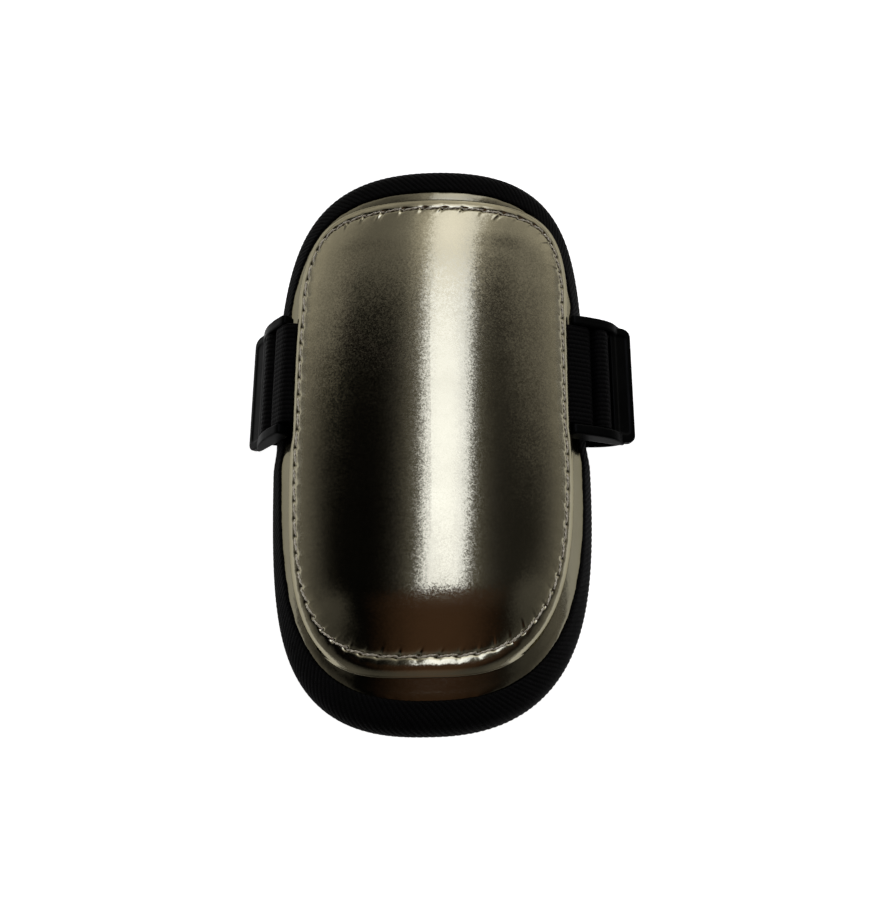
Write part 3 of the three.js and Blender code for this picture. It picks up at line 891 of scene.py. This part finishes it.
def band(name, path, thick, width, matrix, step):
    """Ribbed webbing of even thickness along a path in x, z of its own frame."""
    q, run = even_path(path, step)
    t = np.gradient(q, axis=0)
    t /= np.linalg.norm(t, axis=1, keepdims=True)
    nrm = np.stack([-t[:, 1], t[:, 0]], 1)
    half = thick / 2
    y = np.linspace(-width / 2 + 0.45, width / 2 - 0.45, RIBS * 6 + 1)
    rib = 0.09 * (np.abs(np.cos(np.pi * RIBS * (y / width + 0.5))) - 0.64)
    edge = np.clip((width / 2 - np.abs(y)) / 1.6, 0, 1) ** 0.5
    top = (half - 0.10 + rib) * (0.72 + 0.28 * edge)
    a = np.radians(np.linspace(70, -70, 5))
    lip_y = width / 2 - 0.45 + 0.45 * np.cos(a)
    lip_h = (half * 0.62) * np.sin(a) / math.sin(math.radians(70))
    ys = np.concatenate([y, lip_y, y[::-1], -lip_y])
    hs = np.concatenate([top, lip_h, -top[::-1], -lip_h])
    rows = len(q)
    pts = np.zeros((rows, len(ys), 3))
    pts[..., 0] = q[:, None, 0] + nrm[:, None, 0] * hs[None]
    pts[..., 1] = ys[None]
    pts[..., 2] = q[:, None, 1] + nrm[:, None, 1] * hs[None]
    cols = len(ys)
    ends = [pts[0].mean(0), pts[-1].mean(0)]
    faces = ring_faces(rows, cols).tolist()
    total = rows * cols
    for k in range(cols):
        faces.append([k, (k + 1) % cols, total])
        faces.append([total - cols + (k + 1) % cols, total - cols + k, total + 1])
    allp = move(np.concatenate([pts.reshape(-1, 3), ends]), matrix)
    ob = new_object(name, allp, faces)
    uv = np.concatenate(
        [
            np.stack([np.repeat(run, cols) / 1.1, (np.tile(ys, rows) / width + 0.5) * RIBS + 0.5], 1),
            [[run[0] / 1.1, RIBS / 2 + 0.5], [run[-1] / 1.1, RIBS / 2 + 0.5]],
        ]
    )
    add_map(ob, "weave", uv)
    bm = bmesh.new()
    bm.from_mesh(ob.data)
    bmesh.ops.recalc_face_normals(bm, faces=bm.faces)
    bm.to_mesh(ob.data)
    bm.free()
    ob.data.materials.append(WEB)
    return ob


TAB_REACH = BUCKLE["bar1"][2] + 0.3 + TAB_THICK / 2
# Each tab's upper ply comes out from under the panel's lip, then turns round the inner bar.
TAB_IN = {
    "right": [(-5.3, 0.45), (-4.6, 0.95), (-3.5, 1.50), (-2.0, 1.92), (-0.6, TAB_REACH)],
    "left": [(-4.2, -2.6), (-3.7, -1.2), (-2.9, 0.3), (-1.6, 1.5), (0.0, TAB_REACH - 0.02)],
}


def tab_path(name):
    bar = BUCKLE["bar1"][0] + BUCKLE["flat"]
    return np.concatenate([TAB_IN[name], arc(bar, 0, TAB_REACH, 90, -90, 25), [(-0.9, -TAB_REACH)]])


def strap_end(leave_x):
    bx, bz, br = BUCKLE["bar2"]
    reach = br + SLOT_GAP + STRAP_THICK / 2
    plate_t = BUCKLE["plate"][2]
    edge_r = plate_t / 2 + SLOT_GAP + STRAP_THICK / 2
    return np.concatenate(
        [
            [(bx - reach, -2.3)],
            arc(bx, bz, reach, 180, 90, 14),
            arc(bx + BUCKLE["flat"], bz, reach, 90, 14, 12),
            arc(15.4, -plate_t / 2, edge_r, 190, 270, 12),
            [(leave_x, -plate_t / 2 - edge_r)],
        ]
    )


FLOOR_RUN = {
    "right": dict(leave_x=17.8, start=57.0, out=13.5, down=7.0),
    "left": dict(leave_x=16.3, start=52.0, out=8.0, down=2.2),
}


def strap_half(name):
    side, run = SIDES[name], FLOOR_RUN[name]
    c, s = math.cos(side["tilt"]), math.sin(side["tilt"])
    e = strap_end(run["leave_x"])
    x = side["sign"] * (side["x"] + e[:, 0] * c + e[:, 1] * s)
    z = CROWN + side["z"] - e[:, 0] * s + e[:, 1] * c
    p = np.stack([x, z], 1)
    go = p[-1] - p[-2]
    go /= np.linalg.norm(go)
    k = np.array([
        p[-1], p[-1] + go * run["down"],
        (side["sign"] * (run["start"] + run["out"]), STRAP_THICK / 2),
        (side["sign"] * run["start"], STRAP_THICK / 2),
    ])
    f = np.linspace(0, 1, 40)[1:, None]
    turn = (1 - f) ** 3 * k[0] + 3 * f * (1 - f) ** 2 * k[1] + 3 * f**2 * (1 - f) * k[2] + f**3 * k[3]
    return np.concatenate([p, turn])


panel = build_panel()
stitches = build_stitches()
pad = build_pad()
tape = build_tape()
buckles = {n: build_buckle(f"buckle_body_{n}", s) for n, s in SIDES.items()}
tabs = {n: band(f"tab_web_{n}", tab_path(n), TAB_THICK, BAND_WIDTH, set_frame(s), 0.35) for n, s in SIDES.items()}
strap_path = np.concatenate([strap_half("left"), strap_half("right")[::-1]])
strap_place = Matrix.Translation((FRAME_X, STRAP_Y + FRAME_Y, 0)) @ Matrix.Rotation(STRAP_SKEW, 4, "Z")
strap = band("strap_web", strap_path, STRAP_THICK, BAND_WIDTH, strap_place, 0.8)

for piece, nodes, slot in (
    (panel, ["shell_panel"], "metallic_leather"),
    (stitches, [], "metallic_leather"),
    (pad, ["base_pad"], "metallic_leather"),
    (tape, ["edge_binding"], "black_binding"),
    (strap, ["strap"], "black_webbing"),
    (buckles["right"], ["buckle_right"], "black_plastic"),
    (buckles["left"], ["buckle_left"], "black_plastic"),
    (tabs["right"], ["tab_right"], "black_webbing"),
    (tabs["left"], ["tab_left"], "black_webbing"),
):
    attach(piece, "root")
    if nodes:
        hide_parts(*nodes)

# ------------------------------------------------------------------ stage, light, camera
scene = bpy.context.scene


def glowing_floor():
    me = bpy.data.meshes.new("floor")
    size = 3.0
    me.from_pydata([(-size, -size, 0), (size, -size, 0), (size, size, 0), (-size, size, 0)], [], [(0, 1, 2, 3)])
    ob = bpy.data.objects.new("floor", me)
    scene.collection.objects.link(ob)
    ob.location.z = -0.0002
    m, t, b = material("floor_painted_glow")
    b.inputs["Base Color"].default_value = (0.55, 0.55, 0.545, 1)
    b.inputs["Roughness"].default_value = 0.9
    # The floor glows as painted light: its emission is 1.0 in a pool round the guard and fades to 0.18 further out,
    # and it also lights the guard from below.
    b.inputs["Emission Color"].default_value = (1, 1, 1, 1)
    at = t.nodes.new("ShaderNodeTexCoord").outputs["Object"]
    aside = t.nodes.new("ShaderNodeVectorMath")
    aside.operation = "SUBTRACT"
    t.links.new(at, aside.inputs[0])
    aside.inputs[1].default_value = (0.0, 0.035, 0.0)
    far = t.nodes.new("ShaderNodeVectorMath")
    far.operation = "LENGTH"
    t.links.new(aside.outputs["Vector"], far.inputs[0])
    pool = t.nodes.new("ShaderNodeMapRange")
    pool.interpolation_type = "SMOOTHSTEP"
    for key, value in (("From Min", 0.24), ("From Max", 0.36), ("To Min", 1.0), ("To Max", 0.18)):
        pool.inputs[key].default_value = value
    t.links.new(far.outputs["Value"], pool.inputs["Value"])
    t.links.new(pool.outputs["Result"], b.inputs["Emission Strength"])
    me.materials.append(m)


def studio_world():
    """A dark room with a pale wall beyond the far end and a glow along the horizon."""
    w = bpy.data.worlds.new("studio")
    scene.world = w
    w.use_nodes = True
    t = w.node_tree
    bg = next(n for n in t.nodes if n.type == "BACKGROUND")
    at = t.nodes.new("ShaderNodeTexCoord").outputs["Generated"]
    sep = t.nodes.new("ShaderNodeSeparateXYZ")
    t.links.new(at, sep.inputs[0])
    x, y, z = sep.outputs

    def step(value, a, b, lo, hi):
        n = t.nodes.new("ShaderNodeMapRange")
        n.interpolation_type = "SMOOTHSTEP"
        for key, val in (("From Min", a), ("From Max", b), ("To Min", lo), ("To Max", hi)):
            n.inputs[key].default_value = val
        t.links.new(value, n.inputs["Value"])
        return n.outputs["Result"]

    def times(*parts):
        total = parts[0]
        for p in parts[1:]:
            total = maths(t, "MULTIPLY", total, p)
        return total

    def plus(*parts):
        total = parts[0]
        for p in parts[1:]:
            total = maths(t, "ADD", total, p)
        return total

    def away(value, middle):
        return maths(t, "ABSOLUTE", maths(t, "SUBTRACT", value, middle))

    glow = times(maths(t, "POWER", step(z, 0.62, 0.0, 0.0, 1.0), 1.8), step(y, -0.35, 0.1, 0.06, 0.30))
    wall = step(y, 0.45, 0.595, 0.0, 0.30)
    left = times(step(y, 0.40, 0.50, 0.0, 0.30), step(z, 0.64, 0.36, 0.0, 1.0), step(x, -0.3, -0.1, 1.0, 0.0))
    right = times(step(y, 0.34, 0.52, 0.0, 0.34), step(z, 0.74, 0.40, 0.0, 1.0), step(x, 0.1, 0.3, 0.0, 1.0))
    haze = times(step(x, 0.25, 0.6, 0.0, 0.03), step(y, -0.2, 0.3, 0.0, 1.0))
    halo = times(maths(t, "POWER", step(away(x, 0.11), 0.75, 0.0, 0.0, 1.0), 3.0), step(y, 0.18, 0.24, 0.0, 0.6))
    far_lobe = times(step(away(x, 0.2), 0.45, 0.0, 0.0, 0.9), step(y, 0.46, 0.58, 0.0, 1.0), step(y, 0.72, 0.84, 1.0, 0.1))
    corners = times(step(away(x, 0.0), 0.5, 0.85, 0.0, 0.12), step(y, 0.28, 0.15, 0.0, 1.0), step(z, 0.75, 0.5, 0.0, 1.0))
    front = step(y, -0.45, -0.85, 0.0, 0.16)
    grey = plus(glow, wall, left, right, haze, halo, far_lobe, corners, front, 0.003)
    # The soft box overhead: soft long sides, a clean near end, dimmer towards the far wall.
    lean = maths(t, "SUBTRACT", x, maths(t, "MULTIPLY", maths(t, "SUBTRACT", y, 0.36), 0.25))
    strip = times(
        step(lean, -0.125, -0.025, 0.0, 3.1), step(lean, 0.28, 0.375, 1.0, 0.0), step(y, 0.200, 0.226, 0.0, 1.0),
        step(y, 0.43, 0.57, 1.0, 0.34), step(y, 0.73, 0.85, 1.0, 0.0), step(z, 0.0, 0.2, 0.0, 1.0),
    )
    warm = times(step(away(x, 0.10), 0.75, 0.1, 0.0, 0.12), step(y, 0.24, 0.16, 0.0, 1.0), step(z, 0.5, 0.8, 0.0, 1.0))
    tint = t.nodes.new("ShaderNodeCombineColor")
    for i, (a, b, c) in enumerate(((1.0, 0.83, 1.0), (0.95, 0.89, 0.52), (0.86, 1.11, 0.3))):
        t.links.new(
            plus(maths(t, "MULTIPLY", grey, a), maths(t, "MULTIPLY", strip, b), maths(t, "MULTIPLY", warm, c)), tint.inputs[i]
        )
    t.links.new(tint.outputs["Color"], bg.inputs["Color"])
    bg.inputs["Strength"].default_value = 1.0


def area(name, place, aim, size, power, colour=(1, 1, 1), size_y=None):
    d = bpy.data.lights.new(name, "AREA")
    d.energy = power
    d.color = colour
    d.shape = "RECTANGLE"
    d.size = size
    d.size_y = size_y or size
    ob = bpy.data.objects.new(name, d)
    scene.collection.objects.link(ob)
    ob.location = place
    ob.rotation_euler = (Vector(aim) - Vector(place)).to_track_quat("-Z", "Y").to_euler()
    return ob


glowing_floor()
studio_world()
CROWN_AT = Vector((FRAME_X, FRAME_Y, CROWN)) * MM


def from_crown(distance, tilt, rise):
    """A place seen from the crown: tilt to the right of straight up, rise above +Y."""
    t, e = math.radians(tilt), math.radians(rise)
    return CROWN_AT + distance * Vector((math.sin(t) * math.sin(e), math.cos(e), math.cos(t) * math.sin(e)))


area("overhead_strip", from_crown(1.5, 7.5, 66.0), CROWN_AT, 0.34, 0.20, (0.84, 0.90, 1.0), 0.38)

FIT = dict(rise=math.radians(66.0), distance=476.9, focal=1437.1, roll=-0.014, cx=431.06, cy=420.8)
back = Vector((0, -math.cos(FIT["rise"]), math.sin(FIT["rise"])))
right0 = Vector((1, 0, 0))
up0 = back.cross(right0)
cr, sr = math.cos(FIT["roll"]), math.sin(FIT["roll"])
right = cr * right0 + sr * up0
up = -sr * right0 + cr * up0
cam = bpy.data.cameras.new("camera")
cam.sensor_width = 36.0
cam.lens = FIT["focal"] * 36.0 / 903.0
cam.shift_x = (891 / 2 - FIT["cx"]) / 903.0
cam.shift_y = -(903 / 2 - FIT["cy"]) / 903.0
cam.clip_start = 0.01
cam_ob = bpy.data.objects.new("camera", cam)
scene.collection.objects.link(cam_ob)
place = CROWN_AT + back * FIT["distance"] * MM
cam_ob.matrix_world = Matrix(
    (
        (right.x, up.x, back.x, place.x),
        (right.y, up.y, back.y, place.y),
        (right.z, up.z, back.z, place.z),
        (0, 0, 0, 1),
    )
)
scene.camera = cam_ob
scene.view_settings.view_transform = "Standard"
